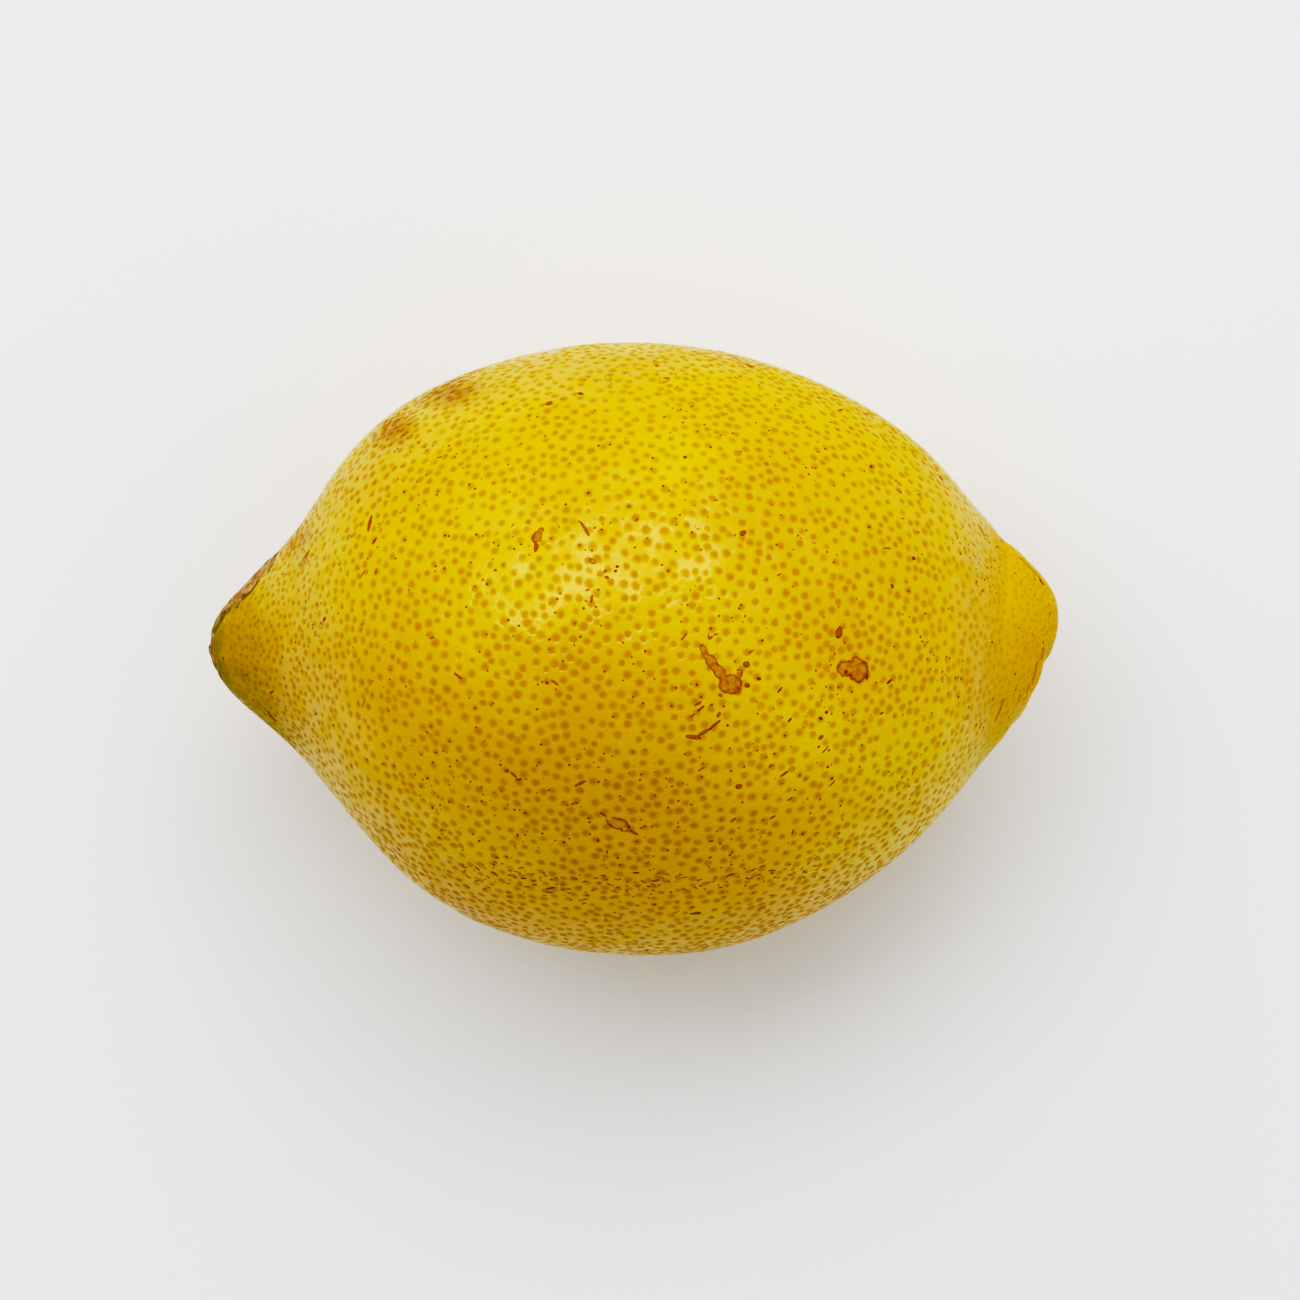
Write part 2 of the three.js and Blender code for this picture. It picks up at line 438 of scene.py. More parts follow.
# %% Set how deep the glands are
depths = draw.uniform(*DEPTH_SPREAD, len(glands))
depths *= 1 - 0.5 * ramp(glands[:, 0], 27, 36)  # faint towards the nipple
depths *= 1 - 0.1 * ramp(glands[:, 0] - furrow_at(glands), -2.0, 0.6)  # and more so past the furrow
depths *= 1 - 0.5 * ramp(-glands[:, 0], 37, 43)  # faint at the stem tip
depths *= 1 - 0.2 * ramp(-glands[:, 0], 26, 32)  # and a little on its neck
depths *= 1 + 0.15 * ramp(-glands[:, 1], 12, 20)  # stronger low on the near side
print("Their depths go from", round(depths.min(), 2), "to", round(depths.max(), 2))

# %% [markdown]
# ## Marks
#
# A lemon that hung on a tree carries its story: scars where twigs rubbed it, corky patches near the
# stem, and hundreds of tiny brown specks. Each mark here is a flat ellipse on the skin, with a length,
# a width, a turn, and a tone. A larger scar is a few of them side by side.
#
# The marks on the upper side are placed by where they are seen from above, in millimetres from the
# middle of the fruit. A line from the camera through that place finds the point on the skin. So the
# camera's place is settled here.

# %% The camera's place, and a way to find a point on the skin
CAMERA_AWAY = 300  # millimetres from the middle of the fruit
CAMERA_TILT = 3  # degrees from straight above, towards -Y

tilt = math.radians(CAMERA_TILT)
view_back = Vector((0, -math.sin(tilt), math.cos(tilt)))  # from the fruit to the camera
view_up = Vector((0, math.cos(tilt), math.sin(tilt)))
aim = Vector((0, 0, AXIS_HEIGHT))
eye = aim + CAMERA_AWAY * view_back
surface = BVHTree.FromPolygons([tuple(row) for row in rows], [tuple(quad) for quad in quads.tolist()])


def seen(x, y):
    """The point on the skin that shows at (x, y) from above, its normal, and how near it looks."""
    line = (aim + x * Vector((1, 0, 0)) + y * view_up - eye).normalized()
    place, normal, _, distance = surface.ray_cast(eye, line)
    if place is None:
        raise ValueError(f"there is no skin at {x}, {y}")
    return place, normal, distance / CAMERA_AWAY


def round_axis(x, angle):
    """The point on the skin at x along the fruit, at an angle in degrees from +Y towards +Z."""
    out = Vector((0, math.cos(math.radians(angle)), math.sin(math.radians(angle))))
    place, normal, _, _ = surface.ray_cast(Vector((x, 0, AXIS_HEIGHT)), out)
    return place, normal, 1


# %% [markdown]
# The list below is the fruit's own story, read off one by one. The tones are few: a dark crease, a
# brown scar, an orange-brown blister, pale cork, and the moss green that lingers round the stem.

# %% List the marks
CREASE, SCAR, BLISTER, CORK, MOSS = 0.1, 0.4, 0.7, 1.1, 1.9

# x, y, length, width, turn in degrees from +X, tone
SCARS_ABOVE = [
    (7.6, -0.42, 1.9, 0.75, -66, BLISTER),  # the comma-shaped scar: its tail,
    (8.3, -1.42, 2.2, 1.15, -56, BLISTER),
    (11.0, -2.62, 1.2, 1.0, 30, BLISTER),  # the lobe beside its head
    (10.2, -3.72, 2.5, 2.3, 10, BLISTER),  # its head
    (9.1, -2.45, 2.0, 1.2, -54, BLISTER),  # and the joint between head and tail
    (9.2, -4.82, 0.5, 0.35, -40, SCAR),
    (23.5, -2.22, 2.8, 2.4, -70, BLISTER),  # the blister to the right of it, in two lobes
    (22.3, -2.05, 2.2, 1.8, 0, BLISTER),
    (22.2, -2.42, 0.5, 0.5, 0, CREASE),
    (21.5, 1.68, 1.25, 0.75, 85, SCAR),
    (26.7, -3.42, 0.85, 0.28, 32, CREASE),
    (8.2, 1.38, 0.85, 0.5, 70, SCAR),
    (8.2, 2.08, 0.4, 0.3, 20, SCAR),
    (11.9, -1.67, 0.75, 0.65, 0, SCAR),
    (12.0, -3.82, 0.6, 0.5, 0, SCAR),
    (13.2, -3.12, 0.5, 0.36, -10, CREASE),
    (6.4, -9.2, 1.5, 0.45, -8, SCAR),  # the long curved scratch below the comma
    (7.4, -8.75, 1.8, 0.36, 30, SCAR),
    (8.6, -7.95, 1.5, 0.3, 40, SCAR),
    (6.9, -5.72, 0.85, 0.24, 28, CREASE),
    (7.2, -6.22, 0.95, 0.26, 38, CREASE),
    (6.3, -6.97, 0.6, 0.2, 40, SCAR),
    (8.3, -5.82, 0.42, 0.24, 20, SCAR),
    (9.0, -6.87, 0.7, 0.36, 55, SCAR),
    (16.4, -7.42, 0.6, 0.28, 45, CREASE),
    (20.2, -6.62, 0.4, 0.36, 0, CREASE),
    (19.6, -7.27, 0.5, 0.26, -45, CREASE),
    (19.6, -9.22, 0.6, 0.45, 30, SCAR),
    (25.9, -6.72, 0.55, 0.22, 15, CREASE),
    (15.8, -13.02, 1.15, 0.26, 30, CREASE),
    (14.4, -12.22, 0.5, 0.22, 40, SCAR),
    (11.1, -14.32, 0.75, 0.6, 0, SCAR),
    (16.4, -15.62, 0.6, 0.26, 30, SCAR),
    (14.6, -17.52, 0.7, 0.26, 20, SCAR),
    (10.5, -17.82, 0.7, 0.3, 40, SCAR),
    (8.2, -20.02, 0.6, 0.26, 0, SCAR),
    (-1.4, -18.22, 2.7, 1.45, -24, 0.6),  # the ring scar low on the belly
    (-1.5, -18.22, 1.7, 0.7, -24, 0.95),
    (0.2, -19.12, 1.0, 0.36, -30, SCAR),
    (-3.0, -17.22, 0.9, 0.3, -35, SCAR),
    (-5.4, -14.02, 1.3, 0.32, 30, SCAR),
    (-6.0, -16.12, 0.8, 0.28, 20, SCAR),
    (-12.3, -13.1, 0.8, 0.3, -40, SCAR),
    (-11.8, -13.6, 0.75, 0.26, 10, SCAR),
    (-13.0, -12.7, 0.5, 0.4, 0, SCAR),
    (-8.6, -24.92, 0.9, 0.34, 30, SCAR),
    (2.4, -24.12, 0.8, 0.3, 10, SCAR),
    (10.2, -23.52, 1.0, 0.3, 16, SCAR),
    (6.6, -27.52, 1.3, 0.45, -6, SCAR),
    (13.4, -26.92, 1.0, 0.35, 14, SCAR),
    (-8.65, 25.48, 0.75, 0.7, 0, SCAR),
    (-5.4, 26.48, 0.75, 0.42, -35, CREASE),
    (-27.3, 12.98, 1.9, 0.5, 78, SCAR),
    (-26.8, 11.18, 0.8, 0.24, 45, CREASE),
    (-9.9, 11.58, 1.45, 1.05, 62, BLISTER),  # the comma-shaped scar in the gloss
    (-9.5, 12.28, 0.75, 0.6, 40, BLISTER),
    (-9.95, 10.48, 1.1, 0.5, 84, SCAR),
    (-4.9, 12.48, 1.95, 0.32, -60, SCAR),
    (-4.1, 9.08, 0.8, 0.5, -42, BLISTER),
    (-3.3, 7.68, 0.5, 0.36, 20, SCAR),
    (-2.8, 8.0, 0.45, 0.3, 60, SCAR),
    (-2.6, 7.4, 0.5, 0.3, -30, SCAR),
    (-1.5, 8.48, 0.36, 0.32, 0, CREASE),
    (-1.7, 8.03, 0.36, 0.3, 0, CREASE),
    (-4.15, 5.18, 0.95, 0.26, 80, SCAR),
    (-4.6, 6.08, 0.5, 0.2, 20, SCAR),
    (-18.1, -2.82, 1.0, 0.26, -35, SCAR),
    (-8.0, -3.52, 1.0, 0.26, -36, SCAR),
    (0.5, 13.38, 0.45, 0.26, 45, SCAR),
    (11.5, 11.98, 0.8, 0.5, 40, SCAR),
    (5.5, 19.88, 0.42, 0.4, 0, CREASE),
    (21.6, 24.78, 0.9, 0.26, 55, CREASE),
    (24.3, 24.38, 0.5, 0.36, 0, SCAR),
    (24.8, 18.88, 0.5, 0.42, 0, CREASE),
    (29.2, 9.38, 0.5, 0.4, 0, CREASE),
    (27.0, 6.48, 0.42, 0.42, 0, CREASE),
    (31.9, 17.78, 0.8, 0.5, -60, CREASE),
    (-34.1, 9.2, 1.9, 1.3, 40, 1.3),  # a pale scar on the neck, and the crease in it
    (-33.9, 9.75, 1.4, 0.34, 28, SCAR),
    (-32.0, 3.08, 0.5, 0.42, 40, CREASE),
    (-37.6, -7.02, 1.4, 0.5, -45, SCAR),
    (38.3, -5.82, 1.5, 0.42, 80, 0.9),  # creases at the foot of the nipple
    (37.8, -7.02, 1.3, 0.4, 55, 0.9),
    (37.4, -5.22, 0.5, 0.4, 0, 0.9),
    (34.7, -7.12, 0.7, 0.3, 50, 0.9),
    (36.1, -8.02, 0.7, 0.3, 50, BLISTER),
    (37.3, 0.68, 0.36, 0.3, 0, SCAR),
    (40.1, -5.12, 0.9, 0.34, 80, 0.9),
    (36.2, 12.28, 1.4, 0.9, -50, CORK),
    (42.5, -0.5, 1.3, 0.55, 80, 0.95),  # brown edges of the fold in its tip
    (41.9, -1.8, 1.3, 0.6, 70, 0.95),
    (41.6, -3.0, 1.4, 0.5, 70, 0.95),
    (41.0, -4.1, 1.2, 0.5, 60, 0.95),
]

# %% [markdown]
# The far shoulder and the two ends are too steep to place a mark from above. The marks there are
# placed by how far along the fruit they lie, and by their angle round its axis.

# %% List the marks on the far shoulder and the ends
# x, angle from +Y, length, width, turn from +X, tone
SCARS_ROUND = [
    (-18.2, 18, 2.6, 0.8, 14, BLISTER),  # rubbed streaks on the far shoulder
    (-16.0, 15.5, 2.2, 0.6, 4, SCAR),
    (-20.0, 22, 0.9, 0.5, 0, SCAR),
    (-24.7, 26, 1.3, 0.7, 50, BLISTER),
    (-23.7, 29, 1.2, 0.6, 50, 0.9),
    (10.0, 16, 1.8, 0.5, 0, SCAR),
    (11.8, 21, 1.1, 0.5, 0, SCAR),
    (-37.0, 33, 2.6, 0.7, 62, MOSS),  # green left in the folds beside the corky strip
    (-43.3, 60, 1.2, 1.1, 0, MOSS),
    (-42.2, 24, 0.9, 0.5, 0, SCAR),
    (-39.6, 26, 1.0, 0.5, 20, SCAR),
    (37.9, 18, 0.75, 0.6, 0, SCAR),
    (40.6, 30, 3.4, 0.7, -6, CORK),
    (41.8, 34, 0.8, 0.6, 0, SCAR),
    (42.2, 154, 2.0, 0.5, 80, SCAR),
    (41.2, 149, 1.6, 0.4, 72, SCAR),
    (41.6, 160, 1.4, 0.7, 78, 0.9),
]

# %% [markdown]
# Each mark of the lists is now laid flat on the skin. We keep its two directions, long and wide,
# divided by its half sizes, so that a point at 1 along either of them lies on the mark's edge.

# %% Lay the listed marks flat on the skin
# length, width, turn and tone of the scar that the flower left, and of the dark spot in it
STYLE_MARKS = [(2.8, 2.5, 0, 0.8), (1.3, 1.1, 0, CREASE)]


def laid(place, normal, near, length, width, turn, tone):
    """A mark as its middle, its two divided directions, its larger half size, and its tone."""
    side = Vector((1, 0, 0)).cross(normal).normalized()
    along = normal.cross(side)
    turned = math.radians(turn)
    length_way = math.cos(turned) * along - math.sin(turned) * side
    width_way = math.sin(turned) * along + math.cos(turned) * side
    return (
        np.array(place),
        np.array(length_way) / (near * length / 2),
        np.array(width_way) / (near * width / 2),
        near * max(length, width) / 2,
        tone,
    )


marks = [laid(*seen(x, y), *shape) for x, y, *shape in SCARS_ABOVE]
marks += [laid(*round_axis(x, angle), *shape) for x, angle, *shape in SCARS_ROUND]
style_tip = rows[rows[:, 0].argmax()] - [0, 0, STYLE_DROP]
style_place, style_normal, _, _ = surface.find_nearest(Vector(style_tip))
marks += [laid(style_place, style_normal, 1, *shape) for shape in STYLE_MARKS]
print("The list has", len(marks), "marks")

# %% [markdown]
# The small marks are too many to list. They are drawn at random from a fixed seed: short scratches
# that lean the same way, as if one twig made them all, and specks, which gather in clusters and
# often sit in the mouth of a gland.

# %% Draw scratches and specks all over
MARK_SEED = 11
SCRATCHES, LONE_SPECKS, CLUSTERS, CLUSTER_SPECKS, GLAND_SPECKS = 120, 1600, 120, 9, 260
CLUSTER_REACH = 1.3  # how far the specks of a cluster spread, in millimetres

draw = np.random.default_rng(MARK_SEED)
for place, normal in zip(*strewn(SCRATCHES, draw)):
    length, width = draw.uniform(0.35, 1.1), draw.uniform(0.1, 0.2)
    turn, tone = draw.normal(34, 14), draw.uniform(0, 0.4)
    marks.append(laid(Vector(place), Vector(normal), 1, length, width, turn, tone))

speck_places = list(zip(*strewn(LONE_SPECKS, draw)))
for middle_place, normal in zip(*strewn(CLUSTERS, draw)):
    for offset in draw.normal(0, CLUSTER_REACH, (CLUSTER_SPECKS, 3)):
        place, found, _, _ = surface.find_nearest(Vector(middle_place + offset))
        speck_places.append((place, found))
for index in draw.choice(len(glands), GLAND_SPECKS, replace=False):
    speck_places.append((glands[index], gland_normals[index]))
specks = []
for place, normal in speck_places:
    length = draw.uniform(0.13, 0.27)
    turn, tone = draw.uniform(0, 180), draw.uniform(0, 0.25)
    width = length * draw.uniform(0.6, 1)
    specks.append(laid(Vector(place), Vector(normal), 1, length, width, turn, tone))
print("The peel has", len(marks), "scars and scratches, and", len(specks), "specks")

# %% [markdown]
# In a few places the peel rubbed against something. Low on the belly that left a line of fine marks,
# which curves with the outline, and more specks above it. On the far shoulder and the neck it left
# patches of short brown strokes.

# %% Draw the marks of rubbing
LINE_SPECKS, LOW_SPECKS = 260, 150
LINE_Y, LINE_CURVE, LINE_SPREAD = -24.6, 0.005, 0.7
# x and angle of a rubbed patch, its reach along and across, and its number of strokes
RUBBED = [(-17.6, 17.5, 2.2, 0.9, 130), (-24.2, 27, 1.2, 1.2, 130), (-34.6, 22, 1.3, 1.0, 60)]
SHOULDER_RADIUS = 20  # from the fruit's axis to the peel there, for turning millimetres into angles

for _ in range(LINE_SPECKS):
    x = draw.uniform(-18, 20)
    y = draw.normal(LINE_CURVE * x * x + LINE_Y, LINE_SPREAD)
    length, width = draw.uniform(0.2, 0.75), draw.uniform(0.12, 0.24)
    turn, tone = draw.normal(0, 25), draw.uniform(0.1, 0.45)
    specks.append(laid(*seen(x, y), length, width, turn, tone))
for _ in range(LOW_SPECKS):
    length = draw.uniform(0.14, 0.34)
    width = length * draw.uniform(0.4, 0.9)
    turn, tone = draw.normal(30, 25), draw.uniform(0, 0.4)
    x, y = draw.uniform(-21, 21), draw.uniform(-23, -10)
    specks.append(laid(*seen(x, y), length, width, turn, tone))
for x, angle, reach_along, reach_across, count in RUBBED:
    for _ in range(count):
        turned = angle + math.degrees(draw.normal(0, reach_across) / SHOULDER_RADIUS)
        length, width = draw.uniform(0.3, 1.0), draw.uniform(0.15, 0.4)
        turn, tone = draw.normal(20, 20), draw.uniform(0.3, 0.85)
        spot = round_axis(draw.normal(x, reach_along), turned)
        specks.append(laid(*spot, length, width, turn, tone))
print("With the rubbed marks there are", len(specks), "specks")

# %% [markdown]
# ## Dots that stay sharp
#
# A gland is two quads wide and a speck is smaller than one, so painting vertices would blur them.
# Instead every quad learns which gland lies nearest, and stores on its corners where that gland's
# middle is, measured in gland radii along the skin. Blender blends those two numbers over the quad,
# so the material can work out the exact distance at each point and draw a crisp round dot, however
# close we look. Two glands are stored for each quad, so that neighbours can touch, and two marks. The
# last attribute tells how far each corner lies from the furrow, the stem scar and the corky strip.

# %% Store the nearest glands on the corners of the quads
corner_points = rows[quads]
quad_middles = corner_points.mean(axis=1)


def tangents(normal):
    """Two directions along the skin for each normal."""
    side = np.cross([1.0, 0.0, 0.0], normal)
    side /= np.linalg.norm(side, axis=-1, keepdims=True)
    return np.cross(normal, side), side


def store(name, table):
    """Keeps three numbers for each corner of each quad, as an attribute that a material can read."""
    layer = skin.data.attributes.new(name, "FLOAT_VECTOR", "CORNER")
    layer.data.foreach_set("vector", table.astype(np.float32).ravel())


gland_tree = tree_of(glands)
nearest = np.array([[index for _, index, _ in gland_tree.find_n(point, 2)] for point in quad_middles])
gland_along, gland_side = tangents(gland_normals)
for name, owner in (("gland_near", nearest[:, 0]), ("gland_next", nearest[:, 1])):
    offset = (corner_points - glands[owner][:, None]) / sizes[owner][:, None, None]
    table = np.empty((len(quads), 4, 3))
    table[..., 0] = (offset * gland_along[owner][:, None]).sum(axis=2)
    table[..., 1] = (offset * gland_side[owner][:, None]).sum(axis=2)
    table[..., 2] = depths[owner][:, None]
    store(name, table)
print("Each of", len(quads), "quads knows its two nearest glands")

# %% [markdown]
# A mark is stored on every quad that it touches. Where many lie over each other, the last two are kept
# and a speck gives way, so the list of scars puts what matters most last.

# %% Store the marks on the corners of the quads
FAR = 9.0  # far outside any dot
QUAD_REACH = 0.34  # from the middle of a quad to beyond its corners
RAGGED_REACH = 1.3  # a mark's ragged edge stays within this many of its radii
TOUCHED = 1.5  # and a quad with a corner within this many is drawn on

quad_tree = tree_of(quad_middles)
over = np.full((len(quads), 4, 3), [FAR, FAR, 0])
under = over.copy()
use = np.zeros(len(quads), int)


def draw_mark(middle_point, length_way, width_way, reach, tone, always):
    """Puts a mark on the quads that it touches, over what they hold already."""
    search = RAGGED_REACH * reach + QUAD_REACH
    near = [index for _, index, _ in quad_tree.find_range(middle_point, search)]
    if not near or (not always and use[near].max() > 1):
        return
    offset = corner_points[near] - middle_point
    u, v = offset @ length_way, offset @ width_way
    touched = np.hypot(u, v).min(axis=1) < TOUCHED + 0.2 / reach
    near, u, v = np.array(near)[touched], u[touched], v[touched]
    under[near] = over[near]
    over[near] = np.stack([u, v, np.full_like(u, tone)], axis=2)
    use[near] += 1


for mark in marks:
    draw_mark(*mark, always=True)
for speck in specks:
    draw_mark(*speck, always=False)
store("mark_over", over)
store("mark_under", under)
edges = [rows[:, 0] - furrow_at(rows), from_stem_scar(rows), into_strip(rows)]
store("ends", np.stack(edges, axis=1)[quads])
print("Marks lie on", int((use > 0).sum()), "of", len(quads), "quads")

# %% [markdown]
# ## Pits in the skin
#
# The glands are also pressed into the mesh, so they show in the skin's own shape and not only in its
# colour. Each vertex sinks by how deep it lies in its nearest gland.

# %% Press the glands in
PIT_DEPTH = 0.035
PIT_FLOOR, PIT_EDGE = 0.2, 1.4  # where the pit starts to rise and where it ends, in gland radii

closest = [gland_tree.find(point) for point in rows]
owner = np.array([index for _, index, _ in closest])
distance = np.array([gap for _, _, gap in closest]) / sizes[owner]
sink = PIT_DEPTH * depths[owner] * (1 - ramp(distance, PIT_FLOOR, PIT_EDGE))
rows -= sink[:, None] * normals
rows[:, 2] = np.maximum(rows[:, 2], 0)
put_corners(skin, rows)
print("The deepest pit is", round(sink.max(), 3), "mm deep")

# %% [markdown]
# ## The peel's material
#
# Lemon peel is a waxy skin over juicy tissue. Its colour is a strong yellow with hardly any blue in
# it. The glands are a deeper ochre, because light goes further in there before it comes back. The
# wax gives a soft gloss that the pits break up.
#
# The material is built from small helpers, so that each line reads as one thought. Most of them add one
# node, feed its inputs, and give back its output.

# %% Helpers for nodes
peel = bpy.data.materials.new("lemon peel")
peel.use_nodes = True
tree = peel.node_tree
tree.nodes.clear()


def feed(socket, value):
    """Links a socket to another, or sets it to a plain value."""
    if isinstance(value, bpy.types.NodeSocket):
        tree.links.new(value, socket)
    else:
        socket.default_value = value


def add(kind, **settings):
    """Adds a node with these settings."""
    node = tree.nodes.new(kind)
    for name, value in settings.items():
        setattr(node, name, value)
    return node


def maths(operation, *values):
    """One step of arithmetic."""
    node = add("ShaderNodeMath", operation=operation)
    for socket, value in zip(node.inputs, values):
        feed(socket, value)
    return node.outputs[0]


def plus(first, second):
    return maths("ADD", first, second)


def minus(first, second):
    return maths("SUBTRACT", first, second)


def times(first, second):
    return maths("MULTIPLY", first, second)


def larger(first, second):
    return maths("MAXIMUM", first, second)


# %% Helpers for fading and blending
def fade(value, start, end, low_end=0.0, high_end=1.0):
    """Goes smoothly from one value to another while its input goes from start to end."""
    node = add("ShaderNodeMapRange", interpolation_type="SMOOTHSTEP")
    for socket, number in zip(node.inputs, (value, start, end, low_end, high_end)):
        feed(socket, number)
    return node.outputs[0]


def blend(share, first, second, kind="MIX"):
    """Mixes two colours."""
    node = add("ShaderNodeMix", data_type="RGBA", blend_type=kind)
    for index, value in ((0, share), (6, first), (7, second)):
        feed(node.inputs[index], value)
    return node.outputs[2]


def tinted(share, base, tint):
    """Multiplies a colour by a tint, as far as the share says."""
    return blend(share, base, blend(1.0, base, tint, "MULTIPLY"))


def parts(vector):
    """The three parts of a vector or a colour."""
    node = add("ShaderNodeSeparateXYZ")
    feed(node.inputs[0], vector)
    return node.outputs


def from_middle(u, v):
    """The distance of (u, v) from (0, 0)."""
    return maths("SQRT", plus(times(u, u), times(v, v)))


# %% Helpers for places, patterns and colours
on_peel = add("ShaderNodeTexCoord").outputs["Object"]
x, y, z = parts(on_peel)


def clouds(size, detail=2.0):
    """A noise texture with lumps of the given size in millimetres."""
    node = add("ShaderNodeTexNoise")
    feed(node.inputs["Vector"], on_peel)
    feed(node.inputs["Scale"], 1 / (size * MM))
    feed(node.inputs["Detail"], detail)
    return node


def noise(size, detail=2.0):
    """Cloudy noise from 0 to 1."""
    return clouds(size, detail).outputs[0]


def stored(name):
    """The three numbers that the skin stores under this name."""
    attribute = add("ShaderNodeAttribute", attribute_type="GEOMETRY", attribute_name=name)
    return parts(attribute.outputs["Vector"])


def oval(middle_x, middle_y, half_x, half_y):
    """1 in the middle of an oval on the upper side, and 0 outside it. Its sizes are in millimetres."""
    across = times(minus(x, middle_x * MM), 1 / (half_x * MM))
    along = times(minus(y, middle_y * MM), 1 / (half_y * MM))
    return times(fade(from_middle(across, along), 1.2, 0.1), fade(z, 0.02, 0.035))


def colour(red, green, blue):
    """A colour as a screen shows it, from 0 to 255, as the linear light that Blender works with."""
    return tuple((part / 255) ** 2.2 for part in (red, green, blue)) + (1.0,)


# %% [markdown]
# ### The ground colour
#
# The yellow isn't even. It drifts a little over a centimetre or two, and the neck has a painted pale
# sheen between its glands. Towards the stem it turns ochre and a little green, and further on the near
# side than on the far one.

# %% Mix the yellow of the belly and the stem end
YELLOW, DEEP_YELLOW, MOTTLE = colour(221, 185, 8), colour(216, 175, 5), colour(196, 150, 0)
PALE_SHEEN = colour(201, 169, 46)
OCHRE, OLIVE, GREEN = colour(185, 152, 6), colour(168, 141, 6), colour(134, 120, 14)
SLANT = 200  # millimetres that the zones at both ends shift along for each metre across

ground = blend(fade(noise(16, 1), 0.35, 0.68), YELLOW, DEEP_YELLOW)
streak, fine = noise(1.1, 3), noise(0.55, 3)
# painted sheen: the pale streaks on the neck between its glands
neck = times(fade(x, -0.0285, -0.034), fade(x, -0.041, -0.0365))
ground = blend(times(neck, fade(streak, 0.3, 0.65, 0.15, 0.7)), ground, PALE_SHEEN)
stem_end = plus(times(x, -1 / MM), times(noise(3, 2), 4))
ochre_end = minus(stem_end, times(y, SLANT))
ground = blend(fade(ochre_end, 35, 43, 0, 0.9), ground, blend(fade(streak, 0.35, 0.65), OCHRE, OLIVE))
ground = blend(fade(stem_end, 43.4, 45.8, 0, 0.8), ground, GREEN)

# %% [markdown]
# The nipple is more orange from the furrow on, with a pale foot that is a painted sheen. The line between
# the two is wavy.

# %% Mix the orange of the nipple
FOOT_SHEEN, ORANGE = colour(210, 175, 62), colour(216, 174, 3)

past_furrow, stem_radius, strip_edge = stored("ends")
wavy = plus(past_furrow, times(minus(noise(2.2, 3), 0.5), 2.6))
wavy = plus(wavy, times(y, SLANT))
nipple = times(fade(wavy, 0.4, 2.2), fade(y, -0.0056, -0.0034, 0.1, 1.0))
# painted sheen: the pale foot of the nipple
ground = blend(fade(x, 0.0305, 0.0355, 0, 0.7), ground, FOOT_SHEEN)
ground = blend(nipple, ground, ORANGE)
ground = blend(fade(fine, 0.3, 0.75, 0, 0.16), ground, MOTTLE)

# %% [markdown]
# The shoulder and a band along the near side get a painted lighter, greener tint, and the belly and a
# zone on the right get painted shade. Where it was rubbed it is brown under the strokes.

# %% Paint light and shade on some zones, and brown the rubbed ones
PAINTED_LIGHT, PAINTED_SHADE = (1.02, 1.09, 1.2, 1.0), (0.85, 0.79, 0.8, 1.0)
RUB = colour(176, 134, 44)
# middle and half sizes of the ovals: the painted light on the shoulder, two of painted shade and three
# rubbed places
SHOULDER, BELLY, RIGHT = (-6, 19, 22, 14), (-3, -13, 22, 14), (20, 6, 15, 15)
RUBS = (-18.2, 24.9, 4.6, 2.6), (-23.7, 21.0, 2.8, 2.6), (-34.2, 10.6, 2.8, 2.4)

near_band = times(fade(y, -0.002, -0.012), fade(y, -0.027, -0.02))
# painted light: a lighter, greener tint over the band on the near side and over the shoulder
painted_light = larger(near_band, times(oval(*SHOULDER), 0.8))
ground = tinted(painted_light, ground, PAINTED_LIGHT)
# painted shade: the belly and a zone on the right are darkened
painted_shade = larger(oval(*BELLY), times(oval(*RIGHT), 0.4))
ground = tinted(painted_shade, ground, PAINTED_SHADE)
brushed = larger(oval(*RUBS[0]), oval(*RUBS[1]))
brushed = larger(brushed, times(oval(*RUBS[2]), 0.6))
ground = blend(times(brushed, fade(streak, 0.3, 0.6, 0.35, 1)), ground, RUB)

# %% [markdown]
# ### Glands
#
# Each gland is a soft round dot. We read the stored place, take its distance from the middle, ruffle it a
# little with noise, and fade the dot out over its rim.

# %% Draw the glands
GLAND_TINT = (0.75, 0.61, 0.3, 1.0)
DOT_CORE, DOT_EDGE = 0.32, 1.4  # where a dot starts to fade and where it ends, in gland radii


def dot_of(name):
    """How strongly the stored gland shows at each point."""
    u, v, strength = stored(name)
    ruffled = plus(from_middle(u, v), fade(fine, 0.2, 0.8, -0.16, 0.16))
    return times(fade(ruffled, DOT_CORE, DOT_EDGE, 1, 0), strength)


dots = larger(dot_of("gland_near"), dot_of("gland_next"))
dotted = tinted(dots, ground, GLAND_TINT)

# %% [markdown]
# ### Scars and specks
#
# A scar is drawn from its stored ellipse in the same way, but with a sharp, ragged edge. Round it runs
# a darker rim, as where a wound has healed. Ellipses that overlap share one rim, so they read as one
# scar. The tone of a mark picks its colour from a ramp.

# %% Read how far out in its marks each point lies
RAGGEDNESS = 0.9

ragged = parts(clouds(0.7).outputs["Color"])


def mark_of(name):
    """How far out in a stored mark each point lies, with its ragged edge at 1, and the mark's tone."""
    u, v, tone = stored(name)
    u = plus(u, times(minus(ragged[0], 0.5), RAGGEDNESS))
    v = plus(v, times(minus(ragged[1], 0.5), RAGGEDNESS))
    return from_middle(u, v), tone


under_out, under_tone = mark_of("mark_under")
over_out, over_tone = mark_of("mark_over")
rim = fade(maths("MINIMUM", under_out, over_out), 0.66, 0.9, 0, 0.44)
darker = plus(rim, fade(noise(0.45, 3), 0.35, 0.7, 0, 0.3))

